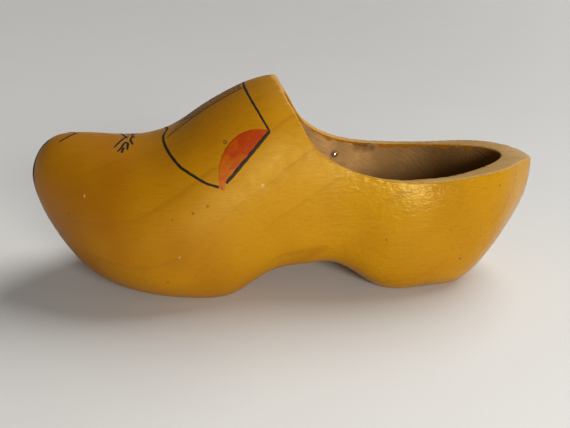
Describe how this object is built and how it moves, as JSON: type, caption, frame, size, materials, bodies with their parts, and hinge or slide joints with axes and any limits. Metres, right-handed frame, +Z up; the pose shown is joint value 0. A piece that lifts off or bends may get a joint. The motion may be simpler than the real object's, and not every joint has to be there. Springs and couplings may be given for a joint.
{
  "type": "wooden clog",
  "caption": "Carved wooden clog with an open heel collar, an arched sole, a raised rounded toe and a painted band over the instep.",
  "frame": {"origin": "on the ground, under the middle of the clog's bounding box", "axes": "+Z up, +X from the toe towards the heel, +Y towards the inner side of a left clog"},
  "size_m": [0.2991, 0.113, 0.1204],
  "materials": {
    "varnished_wood": "clear amber varnish outside, bare gouged wood inside",
    "black_paint": "thin brushed black paint",
    "orange_paint": "thin brushed orange-red paint",
    "nail_steel": "bright domed nail head"
  },
  "bodies": {
    "root": {"clog_body": "varnished_wood", "tie_nail": "nail_steel", "band_outline": "black_paint", "band_centre_lines": "black_paint", "half_moon_outer": "orange_paint", "half_moon_inner": "orange_paint", "toe_strokes": "black_paint", "vamp_strokes": "black_paint", "nose_line": "black_paint"}
  },
  "joints": []
}
